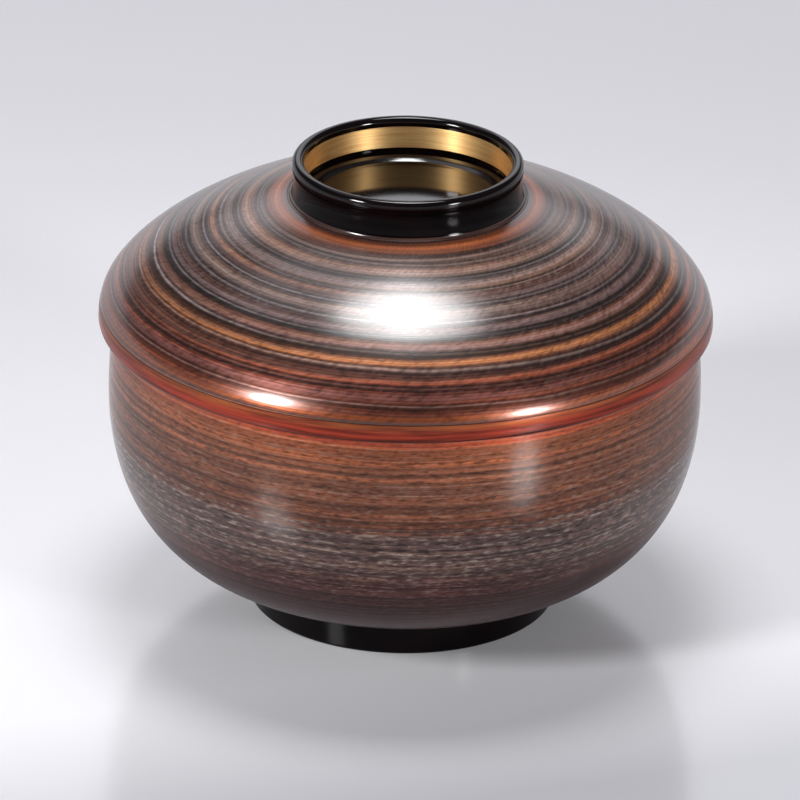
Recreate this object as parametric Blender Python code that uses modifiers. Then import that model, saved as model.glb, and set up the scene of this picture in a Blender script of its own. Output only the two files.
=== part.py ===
# Lidded lacquer bowl: a turned wooden bowl on a glued foot ring, under an overlapping lid with a ring knob.
# Metres, +Z up. The origin is the centre of the foot ring's underside, and every piece turns about Z.

from math import atan2, cos, hypot, pi, radians, sin, tan

import bpy

# Bowl
BELLY_RADIUS = 0.06275  # widest part of the wall
BELLY_BELOW_RIM = 0.0187  # how far under the rim that is
RIM_HEIGHT = 0.0667
RIM_INSET = 0.00145  # how far the wall draws in from the belly to the rim
RIM_ROUND = 0.0005
BOWL_WALL = 0.0024
FLOOR_THICKNESS = 0.0022  # at the centre of the bowl

# Foot ring
FOOT_RADIUS = 0.0325  # where the ring stands
FOOT_HEIGHT = 0.008
FOOT_FLARE = 0.0007  # how much wider the ring is at its top
FOOT_WALL = 0.0035
FOOT_EDGE_ROUND = 0.0008
FOOT_SHOULDER = 0.0003  # how far the bowl's seat shows beyond the ring

# Lid, measured from the ledge that sits on the bowl's rim
LID_CLEARANCE = 0.0005  # between the bowl's wall and the lid's skirt
LEDGE_BEARING = 0.0011  # width of ledge that rests on the rim
SKIRT_DEPTH = 0.0037
SKIRT_WALL = 0.0014
BAND_THICKNESS = 0.001
BAND_DRAFT = 0.0004  # how far the rim band draws in at its top and bottom
LID_RISE = 0.0232  # ledge to the knob's seat
CROWN_WALL = 0.0023  # wood left under the knob's seat
CROWN_PAD_RISE = 0.0008  # raised floor inside the knob ring
CROWN_PAD_SWELL = 0.0003  # and how far it bulges in the middle
DOME_EDGE_RISE = 0.00135  # dome's surface above the knob's seat, just outside the knob

# Knob ring
KNOB_RADIUS = 0.0244  # outside of its rounded lip
KNOB_HEIGHT = 0.0095
LIP_THICKNESS = 0.0025
LIP_GROOVE = 0.0003  # fine line turned under the lip
KNOB_WALL = 0.002
KNOB_WAIST = 0.0002  # how far the wall draws in between lip and base
KNOB_BASE_ROUND = 0.0012  # hollow fillet where the ring meets the dome
GOLD_BELOW_TOP = 0.002
GOLD_HEIGHT = 0.0048
GOLD_THICKNESS = 0.0005

# Coats and joints
LINING_THICKNESS = 0.0006
GLUE_GAP = 0.0003  # between pieces that are glued, coated or resting together

# Curves: handles as shares of the space that each curve spans
WALL_FULLNESS = 0.83  # how far down the wall stays upright
WALL_RUN = 0.247  # how far the underside runs out from the foot
WALL_LIFT = 0.028  # and how much it lifts in that run
DOME_LEAN = 0.035
DOME_SHOULDER = 0.288
DOME_RUN = 0.512
DOME_DROP = 0.202
HOLLOW_LEAN = 0.109
HOLLOW_SHOULDER = 0.524
HOLLOW_RUN = 0.745

TURN_STEPS = 40
WALL_POINTS = 11
UPPER_WALL_POINTS = 4
FLOOR_POINTS = 4
DOME_POINTS = 10
HOLLOW_POINTS = 9
ROUND_POINTS = 4
LIP_SIDES = 12
SHARP_ANGLE = radians(35)

COLLECTION_NAME = "lidded_lacquer_bowl"


# Outlines are lists of (radius, height)

def bezier(start, handle_a, handle_b, end, count):
    points = []
    for i in range(count):
        t = i / (count - 1)
        weights = ((1 - t) ** 3, 3 * t * (1 - t) ** 2, 3 * t * t * (1 - t), t ** 3)
        corners = (start, handle_a, handle_b, end)
        points.append(tuple(sum(w * c[k] for w, c in zip(weights, corners)) for k in (0, 1)))
    return points


def arc(centre, radius, first_degrees, last_degrees, count):
    points = []
    for i in range(count):
        angle = radians(first_degrees + (last_degrees - first_degrees) * i / (count - 1))
        points.append((centre[0] + radius * cos(angle), centre[1] + radius * sin(angle)))
    return points


def offset(outline, distance):
    # Moves an outline to the right of the way it runs. An end on the axis stays on the axis.
    moved = []
    for i, (radius, height) in enumerate(outline):
        before = outline[max(i - 1, 0)]
        after = outline[min(i + 1, len(outline) - 1)]
        run = after[0] - before[0]
        rise = after[1] - before[1]
        length = hypot(run, rise)
        if radius == 0:
            moved.append((0.0, height - distance * (-1 if run < 0 else 1)))
        else:
            moved.append((radius + distance * rise / length, height - distance * run / length))
    return moved


def cut_level(outline, height):
    # Brings the outline's first point to a level, as a turner trues an edge.
    return [(outline[0][0], height)] + outline[1:]


# Shared sizes

belly_height = RIM_HEIGHT - BELLY_BELOW_RIM
rim_radius = BELLY_RADIUS - RIM_INSET
base_radius = FOOT_RADIUS + FOOT_FLARE + FOOT_SHOULDER
spigot_radius = FOOT_RADIUS - FOOT_WALL - GLUE_GAP

ledge_height = RIM_HEIGHT + GLUE_GAP


def upper_wall_radius(height):
    share = (height - belly_height) / BELLY_BELOW_RIM
    return BELLY_RADIUS - RIM_INSET * share ** 2


skirt_inner = upper_wall_radius(ledge_height - SKIRT_DEPTH) + LID_CLEARANCE
skirt_outer = skirt_inner + SKIRT_WALL
band_inner = skirt_outer + GLUE_GAP
lid_radius = band_inner + BAND_THICKNESS
ledge_inner = rim_radius - LEDGE_BEARING

knob_inner = KNOB_RADIUS - LIP_THICKNESS
knob_outer = knob_inner + KNOB_WALL
knob_base_radius = knob_outer + KNOB_BASE_ROUND
knob_seat_radius = knob_base_radius + GLUE_GAP
knob_bottom = LID_RISE + GLUE_GAP
knob_top = knob_bottom + KNOB_HEIGHT
gold_top = knob_top - GOLD_BELOW_TOP
gold_bottom = gold_top - GOLD_HEIGHT


# Bowl outlines, from the rim inwards

def bowl_outside():
    rim_start = RIM_HEIGHT - RIM_ROUND
    upper = []
    for i in range(UPPER_WALL_POINTS):
        height = rim_start + (belly_height - rim_start) * i / UPPER_WALL_POINTS
        upper.append((upper_wall_radius(height), height))
    drop = belly_height - FOOT_HEIGHT
    run = BELLY_RADIUS - base_radius
    handle_a = (BELLY_RADIUS, belly_height - WALL_FULLNESS * drop)
    handle_b = (base_radius + WALL_RUN * run, FOOT_HEIGHT + WALL_LIFT * drop)
    lower = bezier((BELLY_RADIUS, belly_height), handle_a, handle_b, (base_radius, FOOT_HEIGHT), WALL_POINTS)
    return upper + lower


def bowl_inside():
    # The wall inside the wood, then a shallow dish that carries its slope on to the centre.
    wall = cut_level(offset(bowl_outside(), BOWL_WALL), RIM_HEIGHT)
    edge_radius, edge_height = wall[-1]
    slope = atan2(wall[-2][1] - edge_height, wall[-2][0] - edge_radius)
    depth = edge_radius * tan(slope) / 2
    floor = []
    for i in range(1, FLOOR_POINTS + 1):
        share = 1 - i / FLOOR_POINTS
        floor.append((edge_radius * share, edge_height - depth * (1 - share ** 2)))
    return wall + floor


def bowl_body_outline():
    outside = bowl_outside()
    inside = bowl_inside()
    recess_roof = inside[-1][1] - FLOOR_THICKNESS
    round_centre = (outside[0][0] - RIM_ROUND, RIM_HEIGHT - RIM_ROUND)
    rim = arc(round_centre, RIM_ROUND, 90, 0, ROUND_POINTS)[:-1]
    seat = [(spigot_radius, FOOT_HEIGHT), (spigot_radius, recess_roof), (0.0, recess_roof)]
    return inside[::-1] + rim + outside + seat


def bowl_lining_outline():
    inside = bowl_inside()
    back = cut_level(offset(inside, GLUE_GAP), RIM_HEIGHT)
    face = cut_level(offset(inside, GLUE_GAP + LINING_THICKNESS), RIM_HEIGHT)
    return face[::-1] + back


def foot_ring_outline():
    top = FOOT_HEIGHT - GLUE_GAP
    inner = FOOT_RADIUS - FOOT_WALL
    outer_edge = arc((FOOT_RADIUS - FOOT_EDGE_ROUND, FOOT_EDGE_ROUND), FOOT_EDGE_ROUND, 0, -90, ROUND_POINTS)
    inner_edge = arc((inner + FOOT_EDGE_ROUND, FOOT_EDGE_ROUND), FOOT_EDGE_ROUND, -90, -180, ROUND_POINTS)
    return [(FOOT_RADIUS + FOOT_FLARE, top)] + outer_edge + inner_edge + [(inner, top)]


# Lid outlines, with heights from the ledge

def lid_hollow():
    crown = LID_RISE - CROWN_WALL
    handle_a = (ledge_inner * (1 - HOLLOW_LEAN), crown * HOLLOW_SHOULDER)
    handle_b = (ledge_inner * HOLLOW_RUN, crown)
    return bezier((ledge_inner, 0.0), handle_a, handle_b, (0.0, crown), HOLLOW_POINTS)


def lid_shell_outline():
    shoulder = (lid_radius - BAND_DRAFT, GLUE_GAP)
    edge = (knob_seat_radius, LID_RISE + DOME_EDGE_RISE)
    run = shoulder[0] - edge[0]
    rise = edge[1] - shoulder[1]
    handle_a = (edge[0] + DOME_RUN * run, edge[1] - DOME_DROP * rise)
    handle_b = (shoulder[0] - DOME_LEAN * run, shoulder[1] + DOME_SHOULDER * rise)
    dome = bezier(edge, handle_a, handle_b, shoulder, DOME_POINTS)
    pad_radius = knob_inner - GLUE_GAP
    pad_top = LID_RISE + CROWN_PAD_RISE
    crown = [(0.0, pad_top + CROWN_PAD_SWELL), (pad_radius, pad_top), (pad_radius, LID_RISE)]
    seat = [(knob_seat_radius, LID_RISE)]
    skirt = [
        (skirt_outer, GLUE_GAP),
        (skirt_outer, -SKIRT_DEPTH),
        (skirt_inner, -SKIRT_DEPTH),
        (skirt_inner, 0.0),
    ]
    return crown + seat + dome + skirt + lid_hollow()


def lid_lining_outline():
    hollow = lid_hollow()
    back = cut_level(offset(hollow, -GLUE_GAP), 0.0)
    face = cut_level(offset(hollow, -GLUE_GAP - LINING_THICKNESS), 0.0)
    return back[::-1] + face


def rim_band_outline():
    top = (lid_radius - BAND_DRAFT, 0.0)
    bottom = (lid_radius - BAND_DRAFT, -SKIRT_DEPTH)
    widest_a = (lid_radius + BAND_DRAFT / 3, -SKIRT_DEPTH / 3)
    widest_b = (lid_radius + BAND_DRAFT / 3, -SKIRT_DEPTH * 2 / 3)
    outside = bezier(top, widest_a, widest_b, bottom, ROUND_POINTS + 2)
    return outside + [(band_inner, -SKIRT_DEPTH), (band_inner, 0.0)]


def knob_ring_outline():
    lip_radius = LIP_THICKNESS / 2
    half_side = 180 / LIP_SIDES
    lip_centre = (KNOB_RADIUS - lip_radius, knob_top - lip_radius * cos(radians(half_side)))
    lip_outside = arc(lip_centre, lip_radius, 90 - half_side, -3 * half_side, 5)
    lip_inside = arc(lip_centre, lip_radius, 180, 90 + half_side, 4)
    groove_height = lip_outside[-1][1] - LIP_GROOVE
    wall_top = (knob_outer, groove_height - LIP_GROOVE)
    base_top = LID_RISE + DOME_EDGE_RISE
    fillet_centre = (knob_base_radius, base_top + KNOB_BASE_ROUND)
    fillet = arc(fillet_centre, KNOB_BASE_ROUND, 180, 270, ROUND_POINTS)
    waist = (knob_outer - KNOB_WAIST, (wall_top[1] + fillet_centre[1]) / 2)
    base = [(knob_base_radius, knob_bottom), (knob_inner, knob_bottom)]
    recess_radius = knob_inner + GOLD_THICKNESS + GLUE_GAP
    recess = [
        (knob_inner, gold_bottom - GLUE_GAP),
        (recess_radius, gold_bottom - GLUE_GAP),
        (recess_radius, gold_top + GLUE_GAP),
        (knob_inner, gold_top + GLUE_GAP),
    ]
    outside = lip_outside + [(knob_outer - LIP_GROOVE, groove_height), wall_top, waist] + fillet
    return outside + base + recess + lip_inside


def gold_band_outline():
    outer = knob_inner + GOLD_THICKNESS
    return [(outer, gold_top), (outer, gold_bottom), (knob_inner, gold_bottom), (knob_inner, gold_top)]


# Turning

def make_material(name, colour, roughness, metallic):
    material = bpy.data.materials.new(name)
    material.use_nodes = True
    shader = material.node_tree.nodes["Principled BSDF"]
    shader.inputs["Base Color"].default_value = (*colour, 1.0)
    shader.inputs["Roughness"].default_value = roughness
    shader.inputs["Metallic"].default_value = metallic
    return material


def turn(name, outline, closed, material, collection, parent=None):
    # Spins an outline about Z. A closed outline makes a ring, an open one ends on the axis.
    profile = bpy.data.meshes.new(name)
    edges = [(i, i + 1) for i in range(len(outline) - 1)]
    if closed:
        edges.append((len(outline) - 1, 0))
    profile.from_pydata([(radius, 0.0, height) for radius, height in outline], edges, [])
    piece = bpy.data.objects.new(name, profile)
    collection.objects.link(piece)
    screw = piece.modifiers.new("Turned", "SCREW")
    screw.axis = "Z"
    screw.angle = 2 * pi
    screw.steps = TURN_STEPS
    screw.render_steps = TURN_STEPS
    screw.use_merge_vertices = True
    screw.merge_threshold = 0.00001

    bpy.context.view_layer.update()
    evaluated = piece.evaluated_get(bpy.context.evaluated_depsgraph_get())
    turned = bpy.data.meshes.new_from_object(evaluated)
    piece.modifiers.clear()
    piece.data = turned
    bpy.data.meshes.remove(profile)
    turned.name = name
    turned.shade_smooth()
    turned.set_sharp_from_angle(angle=SHARP_ANGLE)
    turned.materials.append(material)
    piece.parent = parent
    return piece


def make_bowl(collection):
    striped = make_material("striped_lacquer", (0.16, 0.06, 0.045), 0.25, 0.0)
    lining = make_material("bowl_lining_lacquer", (0.012, 0.008, 0.009), 0.12, 0.0)
    black = make_material("foot_black_lacquer", (0.006, 0.004, 0.005), 0.1, 0.0)
    turn("bowl_body", bowl_body_outline(), False, striped, collection)
    turn("bowl_lining", bowl_lining_outline(), False, lining, collection)
    turn("bowl_foot_ring", foot_ring_outline(), True, black, collection)


def make_lid(collection):
    # The lid's own frame sits on the axis that it lifts along, level with the ledge.
    frame = bpy.data.objects.new("lid_frame", None)
    frame.location = (0.0, 0.0, ledge_height)
    frame.empty_display_size = KNOB_RADIUS
    collection.objects.link(frame)
    ringed = make_material("ringed_lacquer", (0.19, 0.09, 0.055), 0.22, 0.0)
    lining = make_material("lid_lining_lacquer", (0.012, 0.008, 0.009), 0.12, 0.0)
    orange = make_material("rim_band_lacquer", (0.45, 0.075, 0.035), 0.2, 0.0)
    black = make_material("knob_black_lacquer", (0.006, 0.004, 0.005), 0.1, 0.0)
    gold = make_material("gold_leaf", (0.66, 0.41, 0.17), 0.28, 1.0)
    turn("lid_shell", lid_shell_outline(), False, ringed, collection, frame)
    turn("lid_lining", lid_lining_outline(), False, lining, collection, frame)
    turn("lid_rim_band", rim_band_outline(), True, orange, collection, frame)
    turn("lid_knob_ring", knob_ring_outline(), True, black, collection, frame)
    turn("knob_gold_band", gold_band_outline(), True, gold, collection, frame)


def main():
    for item in list(bpy.data.objects):
        bpy.data.objects.remove(item, do_unlink=True)
    collection = bpy.data.collections.new(COLLECTION_NAME)
    bpy.context.scene.collection.children.link(collection)
    make_bowl(collection)
    make_lid(collection)


main()
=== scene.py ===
import math
import bpy
from mathutils import Matrix, Vector


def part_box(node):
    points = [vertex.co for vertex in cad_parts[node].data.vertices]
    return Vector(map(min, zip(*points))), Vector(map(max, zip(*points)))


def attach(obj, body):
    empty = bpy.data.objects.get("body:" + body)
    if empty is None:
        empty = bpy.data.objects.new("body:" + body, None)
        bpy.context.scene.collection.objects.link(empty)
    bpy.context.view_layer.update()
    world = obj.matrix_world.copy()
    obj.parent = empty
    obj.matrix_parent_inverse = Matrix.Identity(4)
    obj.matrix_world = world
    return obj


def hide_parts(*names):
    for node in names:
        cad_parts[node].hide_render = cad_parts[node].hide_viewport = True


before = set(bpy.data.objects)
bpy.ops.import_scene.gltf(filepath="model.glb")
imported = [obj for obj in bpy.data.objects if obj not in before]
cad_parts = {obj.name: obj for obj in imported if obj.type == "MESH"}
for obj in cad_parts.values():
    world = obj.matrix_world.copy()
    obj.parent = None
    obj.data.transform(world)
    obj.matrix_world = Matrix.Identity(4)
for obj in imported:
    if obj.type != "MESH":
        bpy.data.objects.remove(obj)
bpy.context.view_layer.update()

print("frame loaded:", ", ".join(sorted(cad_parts)))


# Shared tools. Outlines are lists of (radius, height) in mm, run down the outside and up the inside.

mmInMetre = 1000
turnSteps = 180  # flats round each turned piece
creaseAngle = 38  # degrees; an edge that turns more than this stays crisp
nearAxis = 1e-6  # mm; a point closer than this is on the axis
colourA, colourB, colourOut = 6, 7, 2  # the colour sockets of a Mix node


def hexColour(text):
    # an sRGB hex value as linear light
    channels = [int(text[i:i + 2], 16) / 255 for i in (1, 3, 5)]
    return [c / 12.92 if c <= 0.04045 else ((c + 0.055) / 1.055) ** 2.4 for c in channels] + [1.0]


def addNode(owner, kind, inputs=None, stops=None, **settings):
    tree = owner.node_tree
    node = tree.nodes.new(kind)
    for name, value in settings.items():
        setattr(node, name, value)
    for name, value in (inputs or {}).items():
        if isinstance(value, bpy.types.Node):
            value = value.outputs[0]  # a node stands for its first output
        if isinstance(value, bpy.types.NodeSocket):
            tree.links.new(value, node.inputs[name])
        else:
            node.inputs[name].default_value = value
    if stops:
        marks = node.color_ramp.elements
        while len(marks) < len(stops):
            marks.new(1.0)
        for mark, (place, colour) in zip(marks, stops):
            mark.position = place
        for mark, (place, colour) in zip(marks, stops):
            mark.color = colour if len(colour) == 4 else (*colour, 1.0)
    return node


def addObject(name, data):
    made = bpy.data.objects.new(name, data)
    bpy.context.scene.collection.objects.link(made)
    return made


def boxMm(node):
    low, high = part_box(node)
    return low * mmInMetre, high * mmInMetre


def curve(start, handleA, handleB, end, count):
    points = []
    for i in range(count):
        t = i / (count - 1)
        shares = ((1 - t) ** 3, 3 * t * (1 - t) ** 2, 3 * t * t * (1 - t), t ** 3)
        corners = (start, handleA, handleB, end)
        points.append(tuple(sum(s * c[k] for s, c in zip(shares, corners)) for k in (0, 1)))
    return points


def roundOver(centre, radius, first, last, count):
    angles = [math.radians(first + (last - first) * i / (count - 1)) for i in range(count)]
    return [(centre[0] + radius * math.cos(a), centre[1] + radius * math.sin(a)) for a in angles]


def line(start, end, count):
    # stops one step short of its end
    return [(start[0] + (end[0] - start[0]) * i / count, start[1] + (end[1] - start[1]) * i / count)
            for i in range(count)]


def shifted(point, outward, upward):
    return point[0] + outward, point[1] + upward


def wayAlong(outline):
    way = [0.0]
    for a, b in zip(outline, outline[1:]):
        way.append(way[-1] + math.hypot(b[0] - a[0], b[1] - a[1]))
    return way


def sideOf(outline, distances):
    # moves an outline to the right of the way it runs; an end on the axis stays on the axis
    if not isinstance(distances, list):
        distances = [distances] * len(outline)
    moved = []
    for i, ((radius, height), distance) in enumerate(zip(outline, distances)):
        before = outline[max(i - 1, 0)]
        after = outline[min(i + 1, len(outline) - 1)]
        run = after[0] - before[0]
        rise = after[1] - before[1]
        length = math.hypot(run, rise)
        if radius == 0:
            moved.append((0.0, height - distance * (-1 if run < 0 else 1)))
        else:
            moved.append((radius + distance * rise / length, height - distance * run / length))
    return moved


def turnPiece(name, runs, arcFrom, body, node, closed=False):
    # spins runs of (finish, outline) about Z; arcMm counts the way along the outline from run arcFrom
    outline = []
    finishes = []
    for number, (finish, points) in enumerate(runs):
        if number == arcFrom:
            arcZero = len(outline)
        if finish not in finishes:
            finishes.append(finish)
        outline += [(radius, height, finishes.index(finish)) for radius, height in points]
    way = wayAlong(outline)
    lap = way[-1]
    if closed:
        lap += math.hypot(outline[0][0] - outline[-1][0], outline[0][1] - outline[-1][1])
    points = []
    arcs = []
    rings = []
    for (radius, height, finish), s in zip(outline, way):
        count = 1 if radius < nearAxis else turnSteps
        rings.append([len(points) + (j if count > 1 else 0) for j in range(turnSteps)])
        for j in range(count):
            angle = 2 * math.pi * j / turnSteps
            spot = (radius * math.cos(angle), radius * math.sin(angle), height)
            points.append(tuple(c / mmInMetre for c in spot))
            arcs.append(s - way[arcZero])
    faces = []
    marks = []
    spots = []
    pairs = len(outline) if closed else len(outline) - 1
    for i in range(pairs):
        k = (i + 1) % len(outline)
        top = way[i] / lap
        bottom = (way[k] if k else lap) / lap
        for j in range(turnSteps):
            n = (j + 1) % turnSteps
            corners = [(rings[i][j], j, top), (rings[k][j], j, bottom)]
            corners += [(rings[k][n], j + 1, bottom), (rings[i][n], j + 1, top)]
            if rings[i][j] == rings[i][n]:
                corners.pop(3)  # on the axis a ring is one point, so the face has three corners
            if rings[k][j] == rings[k][n]:
                corners.pop(2)
            faces.append([c[0] for c in corners])
            spots += [(c[1] / turnSteps, c[2]) for c in corners]
            marks.append(outline[k][2])
    mesh = bpy.data.meshes.new(name)
    mesh.from_pydata(points, [], faces)
    for finish in finishes:
        mesh.materials.append(finish)
    mesh.polygons.foreach_set("material_index", marks)
    mesh.attributes.new("arcMm", "FLOAT", "POINT").data.foreach_set("value", arcs)
    flat = mesh.uv_layers.new(name="OFBake")  # rolled out flat, for textures
    flat.data.foreach_set("uv", [v for spot in spots for v in spot])
    mesh.shade_smooth()
    mesh.set_sharp_from_angle(angle=math.radians(creaseAngle))
    piece = addObject(name, mesh)
    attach(piece, body)
    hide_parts(node)
    print(name, "turned:", len(mesh.polygons), "faces")


def startFinish(name):
    finish = bpy.data.materials.new(name)
    finish.use_nodes = True
    finish.node_tree.nodes.clear()
    return finish


# Wound thread under clear urushi lacquer: variegated threads laid side by side round a turned wooden
# core, soaked and rubbed flat, then coated clear. The eye gets fine broken lines that glow across the
# rings, under a soft wet gloss.

threadBasics = {
    "bundle": 4.0,  # mm, a bundle of threads laid in one turn
    "threads": 8,  # in a bundle; really about 20, too fine to show
    "strokeJitter": 3.0,
    "noiseLow": 0.3, "noiseHigh": 0.7,  # nearly all of a noise lies between these two
    "coolOffset": 37.0,  # keeps the cool rings from falling with the deep ones
    "coolFrom": 0.42, "coolTo": 0.66,
    "lineCore": 0.01, "lineEdge": 0.085,  # of a bundle, from the middle of its pale thread
    "lineFaint": 0.35,  # where the pale thread sinks between its neighbours
    "lineFrom": 0.4, "lineTo": 0.62,
    "lineLeast": 0.25,
    "gapReach": 0.6,
    "dashRelief": 0.5,
    "reliefMm": 0.04,
    "roughSpread": 0.06,
    "gloss": 0.05,  # the thread itself is dull, the clear coat shines
}


def threadLacquer(ownPlan):
    plan = {**threadBasics, **ownPlan}
    mat = startFinish(plan["name"])
    arc = addNode(mat, "ShaderNodeAttribute", attribute_name="arcMm").outputs["Fac"]
    place = addNode(mat, "ShaderNodeTexCoord").outputs["Object"]
    spot = addNode(mat, "ShaderNodeSeparateXYZ", {"Vector": place})

    # the winding strays, and some rings are wider than others
    wander = addNode(mat, "ShaderNodeTexNoise", {
        "Vector": place, "Scale": mmInMetre / plan["wanderSpan"], "Detail": 1.0})
    wound = addNode(mat, "ShaderNodeMath", {0: wander, 1: plan["wander"], 2: arc}, operation="MULTIPLY_ADD")
    swerve = addNode(mat, "ShaderNodeTexNoise", {
        "W": arc, "Scale": 1 / plan["swerveSpan"], "Detail": 1.0}, noise_dimensions="1D")
    wound = addNode(mat, "ShaderNodeMath", {0: swerve, 1: plan["swerve"], 2: wound},
        operation="MULTIPLY_ADD")

    # the bundle of threads climbs by its own width in each turn
    ahead = addNode(mat, "ShaderNodeMath", {0: spot.outputs["Y"], 1: -1.0}, operation="MULTIPLY")
    angle = addNode(mat, "ShaderNodeMath", {0: spot.outputs["X"], 1: ahead}, operation="ARCTAN2")
    climb = -plan["bundle"] / (2 * math.pi)
    spiral = addNode(mat, "ShaderNodeMath", {0: angle, 1: climb, 2: wound}, operation="MULTIPLY_ADD")
    turns = addNode(mat, "ShaderNodeMath", {0: spiral, 1: plan["bundle"]}, operation="DIVIDE")
    phase = addNode(mat, "ShaderNodeMath", {0: turns}, operation="FRACT")
    lanes = addNode(mat, "ShaderNodeMath", {0: turns, 1: plan["threads"]}, operation="MULTIPLY")
    row = addNode(mat, "ShaderNodeMath", {0: lanes}, operation="FLOOR")
    inRow = addNode(mat, "ShaderNodeMath", {0: lanes}, operation="FRACT")
    thread = addNode(mat, "ShaderNodeMath", {0: row, 1: plan["threads"]}, operation="FLOORED_MODULO")
    rowDraw = addNode(mat, "ShaderNodeTexWhiteNoise", {"W": thread}, noise_dimensions="1D")
    rowTone = rowDraw.outputs["Value"]
    rowDepth = addNode(mat, "ShaderNodeSeparateColor", {"Color": rowDraw.outputs["Color"]}).outputs[1]

    # short pieces of colour along the threads, slanted by the twist of the yarn
    flat = addNode(mat, "ShaderNodeVectorMath", {0: place, 1: (1.0, 1.0, 0.0)}, operation="MULTIPLY")
    heading = addNode(mat, "ShaderNodeVectorMath", {0: flat}, operation="NORMALIZE")
    slant = addNode(mat, "ShaderNodeMath", {0: wound, 1: plan["twist"]}, operation="MULTIPLY")
    turned = addNode(mat, "ShaderNodeVectorRotate", {"Vector": heading, "Angle": slant},
        rotation_type="Z_AXIS")
    along = addNode(mat, "ShaderNodeVectorMath", {0: turned, "Scale": plan["radius"] / plan["dash"]},
        operation="SCALE")
    laneStep = addNode(mat, "ShaderNodeMath", {0: wound, 1: 1 / plan["dashTall"]}, operation="MULTIPLY")
    across = addNode(mat, "ShaderNodeCombineXYZ", {"Z": laneStep})
    dashPlace = addNode(mat, "ShaderNodeVectorMath", {0: along, 1: across}, operation="ADD")
    dash = addNode(mat, "ShaderNodeTexNoise", {
        "Vector": dashPlace, "Scale": 1.0, "Detail": 1.5, "Roughness": 0.55})
    dash = addNode(mat, "ShaderNodeMapRange", {
        "Value": dash, "From Min": plan["noiseLow"], "From Max": plan["noiseHigh"]})

    # the ring plan: dye, share of dark and pale pieces, depth of the bundle's own tones, lustre, coat
    stray = addNode(mat, "ShaderNodeMath", {0: rowTone, 1: plan["stray"], 2: wound},
        operation="MULTIPLY_ADD")
    share = addNode(mat, "ShaderNodeMath", {0: stray, 1: plan["length"]}, operation="DIVIDE")
    rings = [(at / plan["length"], hexColour(plan["dyes"][dye])) for at, dye in plan["rings"]]
    ringColour = addNode(mat, "ShaderNodeValToRGB", {"Fac": share}, stops=rings)
    mix = [(at / plan["length"], (dark, pale, deep)) for at, dark, pale, deep in plan["flecks"]]
    mixColour = addNode(mat, "ShaderNodeValToRGB", {"Fac": share}, stops=mix)
    flecks = addNode(mat, "ShaderNodeSeparateColor", {"Color": mixColour})
    darkShare, paleShare, depth = flecks.outputs[:3]
    lustre = [(at / plan["length"], (value, value, value)) for at, value in plan["lustre"]]
    lustreRamp = addNode(mat, "ShaderNodeValToRGB", {"Fac": share}, stops=lustre)
    coat = plan["coat"]
    if isinstance(coat, list):
        coat = [(at / plan["length"], (value, value, value)) for at, value in coat]
        coat = addNode(mat, "ShaderNodeValToRGB", {"Fac": share}, stops=coat)
    tones = [(at, hexColour(tone)) for at, tone in plan["tones"]]
    toneRamp = addNode(mat, "ShaderNodeValToRGB", {"Fac": phase}, stops=tones)

    # some rings are cooler than their dye
    coolWay = addNode(mat, "ShaderNodeMath", {0: wound, 1: 1 / plan["coolSpan"], 2: plan["coolOffset"]},
        operation="MULTIPLY_ADD")
    coolDraw = addNode(mat, "ShaderNodeTexNoise", {"W": coolWay, "Scale": 1.0, "Detail": 1.0},
        noise_dimensions="1D")
    coolAt = addNode(mat, "ShaderNodeMapRange", {
        "Value": coolDraw, "From Min": plan["coolFrom"], "From Max": plan["coolTo"],
        "To Max": plan["cool"]})
    coolAt = addNode(mat, "ShaderNodeMath", {0: coolAt, 1: depth}, operation="MULTIPLY")
    cooled = addNode(mat, "ShaderNodeMix", {
        "Factor": coolAt, colourA: ringColour, colourB: hexColour(plan["dyes"]["slate"])},
        data_type="RGBA").outputs[colourOut]
    toned = addNode(mat, "ShaderNodeMix", {
        "Factor": depth, colourA: cooled, colourB: toneRamp}, data_type="RGBA",
        blend_type="MULTIPLY").outputs[colourOut]

    # dark and pale pieces
    rowPart = addNode(mat, "ShaderNodeMath", {0: rowTone, 1: plan["rowWeight"]}, operation="MULTIPLY")
    tone = addNode(mat, "ShaderNodeMath", {0: dash, 1: 1 - plan["rowWeight"], 2: rowPart},
        operation="MULTIPLY_ADD")
    darkAt = addNode(mat, "ShaderNodeMapRange", {
        "Value": tone, "From Min": plan["darkFrom"], "From Max": plan["darkFrom"] - plan["soft"]})
    darkPart = addNode(mat, "ShaderNodeMath", {0: darkAt, 1: darkShare}, operation="MULTIPLY")
    paleAt = addNode(mat, "ShaderNodeMapRange", {
        "Value": tone, "From Min": plan["paleFrom"], "From Max": plan["paleFrom"] + plan["soft"]})
    palePart = addNode(mat, "ShaderNodeMath", {0: paleAt, 1: paleShare}, operation="MULTIPLY")
    withDark = addNode(mat, "ShaderNodeMix", {
        "Factor": darkPart, colourA: toned, colourB: hexColour(plan["dyes"]["soot"])},
        data_type="RGBA").outputs[colourOut]

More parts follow.
